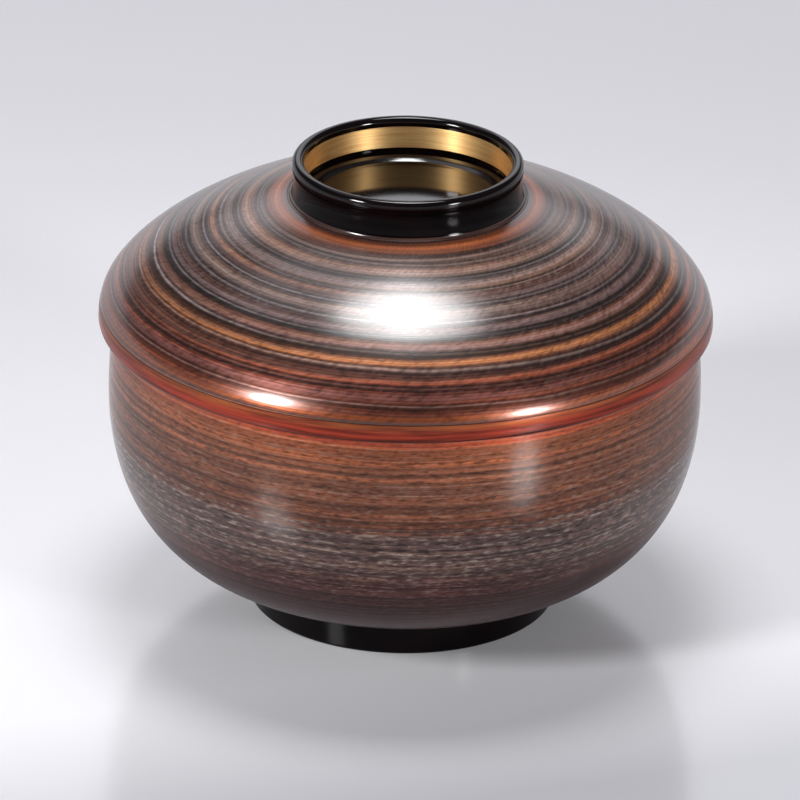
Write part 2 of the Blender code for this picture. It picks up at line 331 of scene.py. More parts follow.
    # one pale thread in each bundle, which comes and goes
    lineWay = addNode(mat, "ShaderNodeMath", {0: phase, 1: plan["paleThread"]}, operation="SUBTRACT")
    lineWay = addNode(mat, "ShaderNodeMath", {0: lineWay}, operation="ABSOLUTE")
    lineAt = addNode(mat, "ShaderNodeMapRange", {
        "Value": lineWay, "From Min": plan["lineCore"], "From Max": plan["lineEdge"],
        "To Min": plan["paleShare"], "To Max": 0.0})
    lineFade = addNode(mat, "ShaderNodeMapRange", {
        "Value": dash, "To Min": plan["lineFaint"], "To Max": 1.0})
    lineAt = addNode(mat, "ShaderNodeMath", {0: lineAt, 1: lineFade}, operation="MULTIPLY")
    lineShow = addNode(mat, "ShaderNodeMapRange", {
        "Value": coolDraw, "From Min": plan["lineFrom"], "From Max": plan["lineTo"],
        "To Min": plan["lineLeast"]})
    lineAt = addNode(mat, "ShaderNodeMath", {0: lineAt, 1: lineShow}, operation="MULTIPLY")
    lineAt = addNode(mat, "ShaderNodeMath", {0: lineAt, 1: depth}, operation="MULTIPLY")
    palePart = addNode(mat, "ShaderNodeMath", {0: palePart, 1: lineAt}, operation="MAXIMUM")
    withPale = addNode(mat, "ShaderNodeMix", {
        "Factor": palePart, colourA: withDark, colourB: hexColour(plan["dyes"]["flax"])},
        data_type="RGBA").outputs[colourOut]

    # painted shade: threads are round, so each is darkened on both sides where it meets the next;
    # and no two are equally deep
    swell = addNode(mat, "ShaderNodeMath", {0: inRow, 1: math.pi}, operation="MULTIPLY")
    roundness = addNode(mat, "ShaderNodeMath", {0: swell}, operation="SINE")
    paintedGapShade = addNode(mat, "ShaderNodeMapRange", {
        "Value": roundness, "From Max": plan["gapReach"], "To Min": plan["gapShade"], "To Max": 1.0})
    gain = addNode(mat, "ShaderNodeMapRange", {
        "Value": rowDepth, "To Min": 1 - plan["rowSpread"], "To Max": 1 + plan["rowSpread"]})

    # rings that are deeper or paler all the way round, and slow changes along the threads
    band = addNode(mat, "ShaderNodeTexNoise", {
        "W": wound, "Scale": 1 / plan["bandSpan"], "Detail": 1.0}, noise_dimensions="1D")
    for noise, spread in ((band, plan["bandSpread"]), (wander, plan["drift"])):
        change = addNode(mat, "ShaderNodeMapRange", {
            "Value": noise, "From Min": plan["noiseLow"], "From Max": plan["noiseHigh"],
            "To Min": 1 - spread, "To Max": 1 + spread})
        gain = addNode(mat, "ShaderNodeMath", {0: gain, 1: change}, operation="MULTIPLY")

    # the strokes of the yarn's twist, leaning across the threads
    jitter = addNode(mat, "ShaderNodeMath", {0: dash, 1: plan["strokeJitter"]}, operation="MULTIPLY")
    strokeAt = addNode(mat, "ShaderNodeMath", {0: wound, 1: plan["strokeLean"], 2: jitter},
        operation="MULTIPLY_ADD")
    strokeAt = addNode(mat, "ShaderNodeMath", {0: angle, 1: plan["strokes"], 2: strokeAt},
        operation="MULTIPLY_ADD")
    stroke = addNode(mat, "ShaderNodeMath", {0: strokeAt}, operation="SINE")
    strokeTone = addNode(mat, "ShaderNodeMapRange", {
        "Value": stroke, "From Min": -1.0, "To Min": 1 - plan["strokeDepth"],
        "To Max": 1 + plan["strokeDepth"]})
    gain = addNode(mat, "ShaderNodeMath", {0: gain, 1: strokeTone}, operation="MULTIPLY")
    shade = addNode(mat, "ShaderNodeMath", {0: paintedGapShade, 1: gain}, operation="MULTIPLY")
    shaded = addNode(mat, "ShaderNodeMix", {"Factor": 1.0, colourA: withPale, colourB: shade},
        data_type="RGBA", blend_type="MULTIPLY").outputs[colourOut]

    relief = addNode(mat, "ShaderNodeMath", {0: dash, 1: plan["dashRelief"], 2: roundness},
        operation="MULTIPLY_ADD")
    reliefDeep = plan["reliefMm"] / mmInMetre
    bump = addNode(mat, "ShaderNodeBump", {
        "Height": relief, "Strength": plan["relief"], "Distance": reliefDeep})
    skin = addNode(mat, "ShaderNodeBump", {
        "Height": relief, "Strength": plan["skinRelief"], "Distance": reliefDeep})
    rough = addNode(mat, "ShaderNodeMapRange", {
        "Value": dash, "To Min": plan["rough"] - plan["roughSpread"],
        "To Max": plan["rough"] + plan["roughSpread"]})
    ringWay = addNode(mat, "ShaderNodeTangent", direction_type="RADIAL", axis="Z")
    shader = addNode(mat, "ShaderNodeBsdfPrincipled", {
        "Base Color": shaded, "Roughness": rough, "Metallic": lustreRamp, "IOR": 1.5,
        "Specular IOR Level": plan["gloss"], "Anisotropic": plan["anisotropic"],
        "Anisotropic Rotation": 0.25, "Tangent": ringWay, "Normal": bump, "Coat Normal": skin,
        "Coat Weight": coat, "Coat Roughness": plan["coatRough"], "Coat IOR": plan["coatIor"]})
    addNode(mat, "ShaderNodeOutputMaterial", {"Surface": shader})
    return mat


lidThreads = {
    "name": "wound thread rings under clear urushi",
    "dash": 1.5,  # mm along a thread
    "dashTall": 0.9,  # mm across the threads
    "radius": 45.0,  # mm, where the dash is measured
    "twist": 0.02,  # radians for each mm, the slant of the yarn's twist
    "wander": 0.6,  # mm, how far the winding strays
    "wanderSpan": 20.0,  # mm
    "swerve": 1.6,  # mm, rings that are wider or narrower
    "swerveSpan": 4.5,  # mm
    "length": 52.0,  # mm from the knob to the lid's edge
    "stray": 0.5,  # mm, threads of one dye among the next
    "dyes": {"soot": "#180c0d", "umber": "#371d14", "sand": "#987e70", "tan": "#8e6e5c", "ash": "#8a7c74",
        "mauve": "#766462", "rose": "#7c5c50", "brown": "#705042", "flax": "#b4a79e", "rust": "#86461f",
        "amber": "#a87248", "chestnut": "#b07650", "maroon": "#ac6248", "copper": "#a8582c",
        "slate": "#716e80"},
    # mm from the knob, dye; the umber next to the knob is partly a dark ring and partly painted
    # shadow under the knob's foot
    "rings": [(0.0, "umber"), (1.9, "umber"), (3.2, "rust"), (5.2, "rust"), (6.4, "umber"), (7.6, "sand"),
        (9.0, "tan"), (12.0, "sand"), (14.5, "ash"), (17.0, "tan"), (19.5, "rose"), (22.5, "ash"),
        (25.0, "rose"), (27.5, "mauve"), (29.5, "brown"), (31.5, "rose"), (33.8, "amber"),
        (35.6, "amber"), (37.4, "chestnut"), (40.0, "maroon"), (43.6, "maroon"), (45.4, "copper"),
        (47.0, "copper")],
    # mm from the knob, dark pieces, pale pieces, depth of the bundle's tones
    "flecks": [(0.0, 0.2, 0.0, 0.1), (5.0, 0.2, 0.0, 0.2), (7.0, 0.3, 0.08, 0.9), (24.0, 0.4, 0.08, 1.0),
        (35.0, 0.45, 0.06, 1.0), (43.0, 0.45, 0.06, 1.0), (46.5, 0.35, 0.02, 0.85)],
    # share of the bundle, tone: a dark line, a thin pale one, a dark line, then a broad band
    "tones": [(0.0, "#b3a098"), (0.06, "#7c6c6a"), (0.11, "#6f5f62"), (0.16, "#a6a2ae"), (0.21, "#aca8b2"),
        (0.26, "#7c6e72"), (0.32, "#5a484e"), (0.38, "#74605c"), (0.43, "#a89084"), (0.48, "#8e7870"),
        (0.54, "#ccb4a6"), (0.61, "#eed8ca"), (0.66, "#c8b2a6"), (0.72, "#fff2ea"), (0.79, "#e9dcd6"),
        (0.84, "#bba8a0"), (0.89, "#eee0d8"), (0.95, "#cfc0ba"), (1.0, "#b3a098")],
    "drift": 0.22,  # slow change of depth along the threads
    "strokes": 180,  # round the lid, the twist of the yarn, about 1.5 mm apart
    "strokeLean": 3.4,  # radians for each mm across
    "strokeDepth": 0.08,
    "paleThread": 0.19,  # its place in the bundle
    "paleShare": 0.42,
    "cool": 0.34,
    "coolSpan": 2.6,  # mm
    "bandSpan": 2.3,  # mm, rings that are deeper or paler all the way round
    "bandSpread": 0.62,
    "rowWeight": 0.15, "rowSpread": 0.2,
    "darkFrom": 0.45, "paleFrom": 0.62,
    "soft": 0.25,
    # painted shade between the threads
    "gapShade": 0.75,
    "relief": 0.3,
    "skinRelief": 0.02,
    "rough": 0.38,
    "anisotropic": 0.5,
    "lustre": [(0.0, 0.0), (31.0, 0.05), (38.0, 0.3), (43.0, 0.65), (50.0, 0.7)],  # silkier to the edge
    "coat": 1.0,
    "coatRough": 0.2, "coatIor": 1.75,
}

# the same on the bowl, where the dyes are more broken; its places are mm from the rim
bowlThreads = {
    "name": "wound thread weave under clear urushi",
    "dash": 2.1,
    "dashTall": 0.52,
    "radius": 62.0,
    "twist": 0.0,
    "wander": 0.8,
    "wanderSpan": 18.0,
    "swerve": 0.6,
    "swerveSpan": 3.0,
    "length": 74.0,  # mm from the rim to the foot
    "stray": 1.8,
    "dyes": {"soot": "#190d0b", "flax": "#a09084", "red": "#c04a2c", "rust": "#aa623e", "walnut": "#8c5840",
        "umber": "#78462f", "slate": "#664e48", "plum": "#563633", "ink": "#402426"},
    "rings": [(0.0, "red"), (5.5, "red"), (9.0, "rust"), (16.0, "walnut"), (25.5, "umber"), (28.0, "slate"),
        (37.0, "slate"), (40.0, "plum"), (44.0, "plum"), (47.0, "ink"), (74.0, "ink")],
    "flecks": [(0.0, 0.2, 0.05, 0.1), (6.0, 0.3, 0.1, 0.2), (9.0, 0.62, 0.2, 0.5), (25.0, 0.68, 0.26, 0.5),
        (28.0, 0.85, 0.62, 0.45), (36.5, 0.8, 0.58, 0.45), (39.5, 0.7, 0.36, 0.4),
        (42.5, 0.6, 0.3, 0.4), (46.0, 0.5, 0.1, 0.3), (74.0, 0.4, 0.0, 0.2)],
    "tones": [(0.0, "#c8b8b4"), (0.2, "#7c6c6a"), (0.35, "#8a7468"), (0.5, "#e0c8b8"), (0.7, "#fff0e4"),
        (0.85, "#b8a8a4"), (1.0, "#c8b8b4")],
    "drift": 0.2,
    "strokes": 220,
    "strokeLean": 2.0,
    "strokeDepth": 0.05,
    "paleThread": 0.2,
    "paleShare": 0.0,  # no pale line here, only pale pieces
    "cool": 0.2,
    "coolSpan": 2.2,
    "bandSpan": 0.9,
    "bandSpread": 0.38,
    "rowWeight": 0.3, "rowSpread": 0.22,
    "darkFrom": 0.44, "paleFrom": 0.6,
    "soft": 0.28,
    # painted shade between the threads
    "gapShade": 0.8,
    "relief": 0.35,
    "skinRelief": 0.03,
    "rough": 0.45,
    "anisotropic": 0.4,
    "lustre": [(0.0, 0.7), (8.0, 0.5), (20.0, 0.3), (74.0, 0.2)],
    "coat": [(0.0, 0.75), (32.0, 0.75), (46.0, 0.3), (74.0, 0.25)],  # thinner towards the foot
    "coatRough": 0.17, "coatIor": 1.5,
}

# Black urushi lacquer, rubbed to a mirror: a warm black with no depth, drawn only by its reflections.
blackPlan = {
    "deep": "#050203",
    "warm": "#0d0506",
    "cloud": 9.0,  # mm, faint clouds in the black
    "cloudFrom": 0.35, "cloudTo": 0.7,
    "rubMarks": 0.25,  # mm, rubbing marks run round the piece
    "relief": 0.04, "reliefMm": 0.03,
    "rough": 0.08, "roughSpread": 0.03,
    "gloss": 0.1,
}


def blackLacquer(name, plan):
    mat = startFinish(name)
    place = addNode(mat, "ShaderNodeTexCoord").outputs["Object"]
    arc = addNode(mat, "ShaderNodeAttribute", attribute_name="arcMm").outputs["Fac"]
    cloud = addNode(mat, "ShaderNodeTexNoise", {
        "Vector": place, "Scale": mmInMetre / plan["cloud"], "Detail": 3.0})
    colour = addNode(mat, "ShaderNodeValToRGB", {"Fac": cloud},
        stops=[(plan["cloudFrom"], hexColour(plan["deep"])), (plan["cloudTo"], hexColour(plan["warm"]))])
    marks = addNode(mat, "ShaderNodeTexNoise", {
        "W": arc, "Scale": 1 / plan["rubMarks"], "Detail": 2.0}, noise_dimensions="1D")
    rough = addNode(mat, "ShaderNodeMapRange", {
        "Value": marks, "To Min": plan["rough"] - plan["roughSpread"],
        "To Max": plan["rough"] + plan["roughSpread"]})
    bump = addNode(mat, "ShaderNodeBump", {
        "Height": marks, "Strength": plan["relief"], "Distance": plan["reliefMm"] / mmInMetre})
    shader = addNode(mat, "ShaderNodeBsdfPrincipled", {
        "Base Color": colour, "Roughness": rough, "IOR": 1.5, "Specular IOR Level": plan["gloss"],
        "Normal": bump})
    addNode(mat, "ShaderNodeOutputMaterial", {"Surface": shader})
    return mat


def ringStreaks(mat, fine, drift, detail):
    # a noise drawn out along the rings, fine mm across them and drift mm along
    place = addNode(mat, "ShaderNodeTexCoord").outputs["Object"]
    arc = addNode(mat, "ShaderNodeAttribute", attribute_name="arcMm").outputs["Fac"]
    step = addNode(mat, "ShaderNodeMath", {0: arc, 1: 1 / fine}, operation="MULTIPLY")
    slow = mmInMetre / drift
    along = addNode(mat, "ShaderNodeVectorMath", {0: place, 1: (slow, slow, 0.0)}, operation="MULTIPLY")
    across = addNode(mat, "ShaderNodeCombineXYZ", {"Z": step})
    spot = addNode(mat, "ShaderNodeVectorMath", {0: along, 1: across}, operation="ADD")
    return addNode(mat, "ShaderNodeTexNoise", {"Vector": spot, "Scale": 1.0, "Detail": detail})


# Red-orange bengara lacquer on the lid's edge, brushed round it and coated clear: warm, faintly streaked,
# more orange at the crease and redder below it; painted shade darkens it a little at the crease and to
# nearly black under the edge.
edgePlan = {
    "warm": "#a0562e", "bright": "#b0402a", "deep": "#6c261a", "shadow": "#240c09",
    "wide": 4.4,  # mm from the crease to under the edge; the places below are shares of it
    "hueFrom": 0.12, "hueTo": 0.42,
    # painted shade: at shares of the band, how far it turns to the dark colour
    "shade": [(0.0, 0.12), (0.12, 0.0), (0.62, 0.0), (0.8, 0.75), (0.95, 0.9)],
    "streak": 0.7,  # mm
    "drift": 16.0,  # mm along a streak
    "streakFrom": 0.32, "streakTo": 0.62,
    "relief": 0.08, "reliefMm": 0.03,
    "roughLow": 0.36, "roughHigh": 0.48,
    "lustre": 0.7,  # metallic, for the pigment's silky glow
    "gloss": 0.05,
    "coat": 0.6,
    "coatRough": 0.2, "coatIor": 1.4,
}


def edgeLacquer(plan):
    mat = startFinish("bengara red lacquer")
    arc = addNode(mat, "ShaderNodeAttribute", attribute_name="arcMm").outputs["Fac"]
    streaks = ringStreaks(mat, plan["streak"], plan["drift"], 3.0)
    edgeWay = addNode(mat, "ShaderNodeMath", {0: arc, 1: plan["wide"]}, operation="DIVIDE")
    edgeHue = addNode(mat, "ShaderNodeValToRGB", {"Fac": edgeWay},
        stops=[(plan["hueFrom"], hexColour(plan["warm"])), (plan["hueTo"], hexColour(plan["bright"]))])
    streakAt = addNode(mat, "ShaderNodeMapRange", {
        "Value": streaks, "From Min": plan["streakFrom"], "From Max": plan["streakTo"]})
    colour = addNode(mat, "ShaderNodeMix", {
        "Factor": streakAt, colourA: hexColour(plan["deep"]), colourB: edgeHue},
        data_type="RGBA").outputs[colourOut]
    # painted shade: a little darker at the crease and nearly black under the edge
    paintedEdgeShade = addNode(mat, "ShaderNodeValToRGB", {"Fac": edgeWay},
        stops=[(at, (value, value, value)) for at, value in plan["shade"]])
    shaded = addNode(mat, "ShaderNodeMix", {
        "Factor": paintedEdgeShade, colourA: colour, colourB: hexColour(plan["shadow"])},
        data_type="RGBA").outputs[colourOut]
    bump = addNode(mat, "ShaderNodeBump", {
        "Height": streaks, "Strength": plan["relief"], "Distance": plan["reliefMm"] / mmInMetre})
    rough = addNode(mat, "ShaderNodeMapRange", {
        "Value": streaks, "To Min": plan["roughLow"], "To Max": plan["roughHigh"]})
    shader = addNode(mat, "ShaderNodeBsdfPrincipled", {
        "Base Color": shaded, "Roughness": rough, "Metallic": plan["lustre"], "IOR": 1.5,
        "Specular IOR Level": plan["gloss"], "Normal": bump, "Coat Weight": plan["coat"],
        "Coat Roughness": plan["coatRough"], "Coat IOR": plan["coatIor"]})
    addNode(mat, "ShaderNodeOutputMaterial", {"Surface": shader})
    return mat


# Gold powder burnished on lacquer: satin, with fine lines from turning and a redder ground showing through.
goldPlan = {
    "bright": "#ffd894",
    "red": "#f0b272",
    "redTo": 0.25, "brightFrom": 0.6,
    "line": 0.3,  # mm
    "drift": 9.0,  # mm along a line
    "relief": 0.1, "reliefMm": 0.03,
    "roughLow": 0.46, "roughHigh": 0.56,
    "metallic": 0.9,
    "anisotropic": 0.8,
}


def goldFinish(plan):
    mat = startFinish("burnished gold powder")
    lines = ringStreaks(mat, plan["line"], plan["drift"], 2.0)
    colour = addNode(mat, "ShaderNodeValToRGB", {"Fac": lines},
        stops=[(plan["redTo"], hexColour(plan["red"])), (plan["brightFrom"], hexColour(plan["bright"]))])
    rough = addNode(mat, "ShaderNodeMapRange", {
        "Value": lines, "To Min": plan["roughLow"], "To Max": plan["roughHigh"]})
    ringWay = addNode(mat, "ShaderNodeTangent", direction_type="RADIAL", axis="Z")
    bump = addNode(mat, "ShaderNodeBump", {
        "Height": lines, "Strength": plan["relief"], "Distance": plan["reliefMm"] / mmInMetre})
    shader = addNode(mat, "ShaderNodeBsdfPrincipled", {
        "Base Color": colour, "Roughness": rough, "Metallic": plan["metallic"], "Normal": bump,
        "Anisotropic": plan["anisotropic"], "Anisotropic Rotation": 0.25, "Tangent": ringWay})
    addNode(mat, "ShaderNodeOutputMaterial", {"Surface": shader})
    return mat


lidFinish = threadLacquer(lidThreads)
bowlFinish = threadLacquer(bowlThreads)
black = blackLacquer("black urushi", blackPlan)
liningBlack = blackLacquer("black urushi lining", dict(blackPlan, warm="#140a0b", rough=0.09, gloss=0.3))
wellBlack = blackLacquer("black urushi, mirror rubbed", dict(blackPlan, gloss=0.9))
lipBlack = blackLacquer("black urushi lip", dict(blackPlan, rough=0.1, gloss=0.35))
# painted reflection: the fillet's own dark umber is made paler towards grey, for the room it mirrors
umberSheenPlan = dict(blackPlan, deep="#3c2a26", warm="#503a34", rough=0.16, gloss=0.5)
umberSheenLacquer = blackLacquer("umber urushi", umberSheenPlan)  # thin, where the knob meets the lid
edgeFinish = edgeLacquer(edgePlan)
gold = goldFinish(goldPlan)
print("finishes mixed:", len(bpy.data.materials))


# Bowl

bowlPlan = {
    "bellyBelowRim": 18.7,  # mm, the widest part of the wall
    "rimInset": 1.45,
    "rimRound": 0.5,
    "wall": 2.4,
    "seatBeyondFoot": 0.3,
    "fullness": 0.83,  # how far down the wall stays upright
    "run": 0.247,  # how far the underside runs out from the foot
    "lift": 0.028,
    "gap": 0.3,  # behind the lining, and over the foot ring
    "lining": 0.6,
    "spigot": 28.7,  # mm, radius of the plug that the foot ring goes round
    "spigotRing": 0.6,  # share of that radius, one ring of points under it
    "rimSteps": 7, "upperSteps": 36, "lowerSteps": 110, "dishSteps": 24,
}

bodyLow, bodyHigh = boxMm("bowl_body")
footHigh = boxMm("bowl_foot_ring")[1]
belly = bodyHigh.x
rimHigh = bodyHigh.z
bellyHigh = rimHigh - bowlPlan["bellyBelowRim"]
seatHigh = footHigh.z + bowlPlan["gap"]
seatRadius = footHigh.x + bowlPlan["seatBeyondFoot"]


def wallRadius(height):
    return belly - bowlPlan["rimInset"] * ((height - bellyHigh) / bowlPlan["bellyBelowRim"]) ** 2


rimStart = rimHigh - bowlPlan["rimRound"]
upperWall = [(wallRadius(h), h) for r, h in line((0, rimStart), (0, bellyHigh), bowlPlan["upperSteps"])]
wallPull = (belly, bellyHigh - bowlPlan["fullness"] * (bellyHigh - seatHigh))
seatPull = (seatRadius + bowlPlan["run"] * (belly - seatRadius),
            seatHigh + bowlPlan["lift"] * (bellyHigh - seatHigh))
lowerWall = curve((belly, bellyHigh), wallPull, seatPull, (seatRadius, seatHigh), bowlPlan["lowerSteps"])
outside = upperWall + lowerWall
inWall = sideOf(outside, bowlPlan["wall"])
inWall[0] = (inWall[0][0], rimHigh)
edgeRadius, edgeHigh = inWall[-1]
slope = (inWall[-2][1] - edgeHigh) / (inWall[-2][0] - edgeRadius)
dish = []  # the floor inside carries the wall's slope on to the axis
for i in range(1, bowlPlan["dishSteps"] + 1):
    out = 1 - i / bowlPlan["dishSteps"]
    dish.append((edgeRadius * out, edgeHigh - edgeRadius * slope / 2 * (1 - out ** 2)))
inside = inWall + dish
rimCentre = (outside[0][0] - bowlPlan["rimRound"], rimStart)
rim = roundOver(rimCentre, bowlPlan["rimRound"], 90, 0, bowlPlan["rimSteps"])[:-1]
spigot = bowlPlan["spigot"]
under = [(spigot, seatHigh), (spigot, bodyLow.z), (spigot * bowlPlan["spigotRing"], bodyLow.z),
         (0.0, bodyLow.z)]
turnPiece("bowlWall", [(black, inside[::-1]), (bowlFinish, rim + outside), (black, under)], 1,
          "bowl", "bowl_body")

liningBack = sideOf(inside, bowlPlan["gap"])
liningFace = sideOf(inside, bowlPlan["gap"] + bowlPlan["lining"])
liningBack[0] = (liningBack[0][0], rimHigh)
liningFace[0] = (liningFace[0][0], rimHigh)
turnPiece("bowlLining", [(liningBlack, liningFace[::-1] + liningBack)], 0,
          "bowl", "bowl_lining")

footPlan = {
    "flare": 0.7,
    "wall": 3.5,
    "edgeRound": 0.8,
    "intoGap": 0.25,  # mm up into the gap under the bowl
    "sideSteps": 16, "edgeSteps": 9,
}

footStand = footHigh.x - footPlan["flare"]
footTop = footHigh.z + footPlan["intoGap"]
footInner = footStand - footPlan["wall"]
edge = footPlan["edgeRound"]
footOutline = line((footHigh.x, footTop), (footStand, edge), footPlan["sideSteps"])
footOutline += roundOver((footStand - edge, edge), edge, 0, -90, footPlan["edgeSteps"])
footOutline += roundOver((footInner + edge, edge), edge, -90, -180, footPlan["edgeSteps"])
footOutline += [(footInner, footTop / 2), (footInner, footTop)]
turnPiece("footRing", [(black, footOutline)], 0, "bowl", "bowl_foot_ring", closed=True)


# Lid

lidPlan = {
    # shares of the dome's run and rise, for the pull of its curve at both ends
    "lean": 0.035, "shoulder": 0.288, "run": 0.512, "drop": 0.202,
    "ripple": 0.005,  # mm, the rings can just be felt
    "rippleStep": 4.05,  # mm
    "rippleFade": 4,  # mm from the knob and from the edge
    "seat": 90.2,  # knob's seat
    "edgeRise": 1.35,
    "gap": 0.3,  # to the knob, the band and the lining
    "wellInset": 0.7,  # mm inside the gold band
    "wellDish": 18.6,  # mm, radius of the dished floor inside the knob
    "wellLow": 0.6,  # its middle, above the seat
    "wellRise": 0.3,
    "wellBend": [(0.35, 0.03), (0.5, 0.08), (0.7, 0.2)],  # mm out and up, from the dish into the slope
    "wellLean": 25.0,  # degrees, the slope round it
    "wellStep": 1.2,  # mm along that slope
    "topLead": (0.3, 0.17),  # mm out and up, from the slope to the level rim
    "topRun": 0.5, "topLift": 0.3, "topRise": 0.35,
    "crownWall": 2.3,
    "skirtInset": 0.9,  # room for the rim band
    "skirtWall": 1.4,
    "ledgeInset": 1.1,  # mm, the ledge that sits on the bowl's rim
    "hollowLean": 0.109, "hollowShoulder": 0.524, "hollowRun": 0.745,
    "lining": 0.6,
    "domeSteps": 230, "dishSteps": 14, "bendSteps": 6, "hollowSteps": 60,
}

shellLow, shellHigh = boxMm("lid_shell")
bandLow, bandHigh = boxMm("lid_rim_band")
knobLow, knobHigh = boxMm("lid_knob_ring")
goldLow, goldHigh = boxMm("knob_gold_band")
seat = lidPlan["seat"]
ledge = bandHigh.z
shoulder = (shellHigh.x, ledge + lidPlan["gap"])
crownEdge = (knobHigh.x + lidPlan["gap"], seat + lidPlan["edgeRise"])
run = shoulder[0] - crownEdge[0]
rise = crownEdge[1] - shoulder[1]
crownPull = (crownEdge[0] + lidPlan["run"] * run, crownEdge[1] - lidPlan["drop"] * rise)
shoulderPull = (shoulder[0] - lidPlan["lean"] * run, shoulder[1] + lidPlan["shoulder"] * rise)
dome = curve(crownEdge, crownPull, shoulderPull, shoulder, lidPlan["domeSteps"])
domeWay = wayAlong(dome)
depths = []
for s in domeWay:
    fade = min(1.0, s / lidPlan["rippleFade"], (domeWay[-1] - s) / lidPlan["rippleFade"])
    depths.append(lidPlan["ripple"] * fade * (1 - math.cos(2 * math.pi * s / lidPlan["rippleStep"])))
rippled = sideOf(dome, depths)

wellRim = goldHigh.x - lidPlan["wellInset"]
dishEdge = (lidPlan["wellDish"], seat + lidPlan["wellLow"] + lidPlan["wellRise"])
crown = []
for i in range(lidPlan["dishSteps"]):
    out = i / lidPlan["dishSteps"]
    crown.append((dishEdge[0] * out, dishEdge[1] - lidPlan["wellRise"] * (1 - out ** 2)))
bendA, bendB, bendEnd = [shifted(dishEdge, *step) for step in lidPlan["wellBend"]]
crown += curve(dishEdge, bendA, bendB, bendEnd, lidPlan["bendSteps"])
wellLean = math.radians(lidPlan["wellLean"])
wellStep = lidPlan["wellStep"]
slopeEnd = shifted(bendEnd, wellStep * math.cos(wellLean), wellStep * math.sin(wellLean))
crown += curve(slopeEnd, shifted(slopeEnd, *lidPlan["topLead"]),
               (wellRim - lidPlan["topRun"], slopeEnd[1] + lidPlan["topLift"]),
               (wellRim, slopeEnd[1] + lidPlan["topRise"]), lidPlan["bendSteps"])
crown += [(wellRim, seat), (crownEdge[0], seat)]

skirtOut = shellHigh.x - lidPlan["skirtInset"]
skirtIn = skirtOut - lidPlan["skirtWall"]
ledgeIn = wallRadius(rimHigh) - lidPlan["ledgeInset"]
skirt = [(skirtOut, shoulder[1]), (skirtOut, shellLow.z), (skirtIn, shellLow.z), (skirtIn, ledge)]
crownIn = seat - lidPlan["crownWall"] - ledge
hollowPull = (ledgeIn * (1 - lidPlan["hollowLean"]), ledge + crownIn * lidPlan["hollowShoulder"])
hollow = curve((ledgeIn, ledge), hollowPull, (ledgeIn * lidPlan["hollowRun"], ledge + crownIn),
               (0.0, ledge + crownIn), lidPlan["hollowSteps"])
turnPiece("lidDome", [(wellBlack, crown), (lidFinish, rippled), (black, skirt + hollow)], 1,
          "lid", "lid_shell")

lidBack = sideOf(hollow, -lidPlan["gap"])
lidFace = sideOf(hollow, -lidPlan["gap"] - lidPlan["lining"])
lidBack[0] = (lidBack[0][0], ledge)
lidFace[0] = (lidFace[0][0], ledge)
turnPiece("lidLining", [(liningBlack, lidBack[::-1] + lidFace)], 0, "lid", "lid_lining")

bandPlan = {
    "draft": 0.4,
    "thick": 1.0,
    "round": 0.7,
    "intoCrease": 0.15,  # mm up into the crease
    "swellTop": 1.1,  # mm below the crease, where its face comes upright
    "swellEnd": 2.0,
    "faceSteps": 18, "edgeSteps": 9,
}

bandWide = shellHigh.x + bandPlan["draft"]
bandIn = bandWide - bandPlan["thick"]
bandEdge = bandLow.z + bandPlan["round"]
bandFace = curve((shellHigh.x, ledge + bandPlan["intoCrease"]), (bandWide, ledge - bandPlan["swellTop"]),
                 (bandWide, ledge - bandPlan["swellEnd"]), (bandWide, bandEdge), bandPlan["faceSteps"])[:-1]
bandCentre = (bandWide - bandPlan["round"], bandEdge)
bandFace += roundOver(bandCentre, bandPlan["round"], 0, -90, bandPlan["edgeSteps"])
bandBack = [(bandIn, bandLow.z), (bandIn, ledge)]
turnPiece("rimBand", [(edgeFinish, bandFace + bandBack)], 0,
          "lid", "lid_rim_band", closed=True)


# Knob

knobPlan = {
    "lip": 2.5,  # mm across the rounded lip
    "lipEnd": -45,  # degrees, where the lip turns into the groove
    "groove": 0.3,
    "wall": 2.4,
    "waist": 0.35,  # mm, the wall draws in below the lip and flares to its foot
    "waistPull": 1.2,
    "flare": 0.3,
    "flareLean": 25.0,  # degrees
    "flarePull": 1.4,
    "baseRound": 0.75,
    "goldThick": 0.5,
    "goldGap": 0.1,  # mm round the gold band in its slot
    "goldBevel": 0.15,
    "lipOutSteps": 22, "lipInSteps": 16, "wallSteps": 24, "baseSteps": 10, "bevelSteps": 3, "goldSteps": 14,
}

knobIn = goldHigh.x - knobPlan["goldThick"]
knobOut = knobIn + knobPlan["wall"]
lipRound = knobPlan["lip"] / 2
lipCentre = (knobIn + lipRound, knobHigh.z - lipRound)
lipOut = roundOver(lipCentre, lipRound, 90, knobPlan["lipEnd"], knobPlan["lipOutSteps"])
lipIn = roundOver(lipCentre, lipRound, 180, 90, knobPlan["lipInSteps"])[:-1]
grooveHigh = lipOut[-1][1] - knobPlan["groove"]
wallTop = (knobOut, grooveHigh - knobPlan["groove"])
baseTop = crownEdge[1]
waist = knobOut - knobPlan["waist"]
wallFoot = knobOut + knobPlan["flare"]
flareLean = math.radians(knobPlan["flareLean"])
footDrop = knobPlan["baseRound"] * (1 - math.sin(flareLean))
filletAt = (wallFoot + knobPlan["baseRound"] * math.cos(flareLean), baseTop + knobPlan["baseRound"])
fillet = roundOver(filletAt, knobPlan["baseRound"], 180 + knobPlan["flareLean"], 270, knobPlan["baseSteps"])
footPull = (wallFoot - knobPlan["flarePull"] * math.sin(flareLean),
            baseTop + footDrop + knobPlan["flarePull"] * math.cos(flareLean))
side = [(knobOut - knobPlan["groove"], grooveHigh)]
side += curve(wallTop, (waist, wallTop[1] - knobPlan["waistPull"]), footPull, fillet[0],
              knobPlan["wallSteps"])[:-1]
base = [(fillet[-1][0], knobLow.z), (knobIn, knobLow.z)]
slotOut = knobIn + knobPlan["goldThick"] + knobPlan["goldGap"]
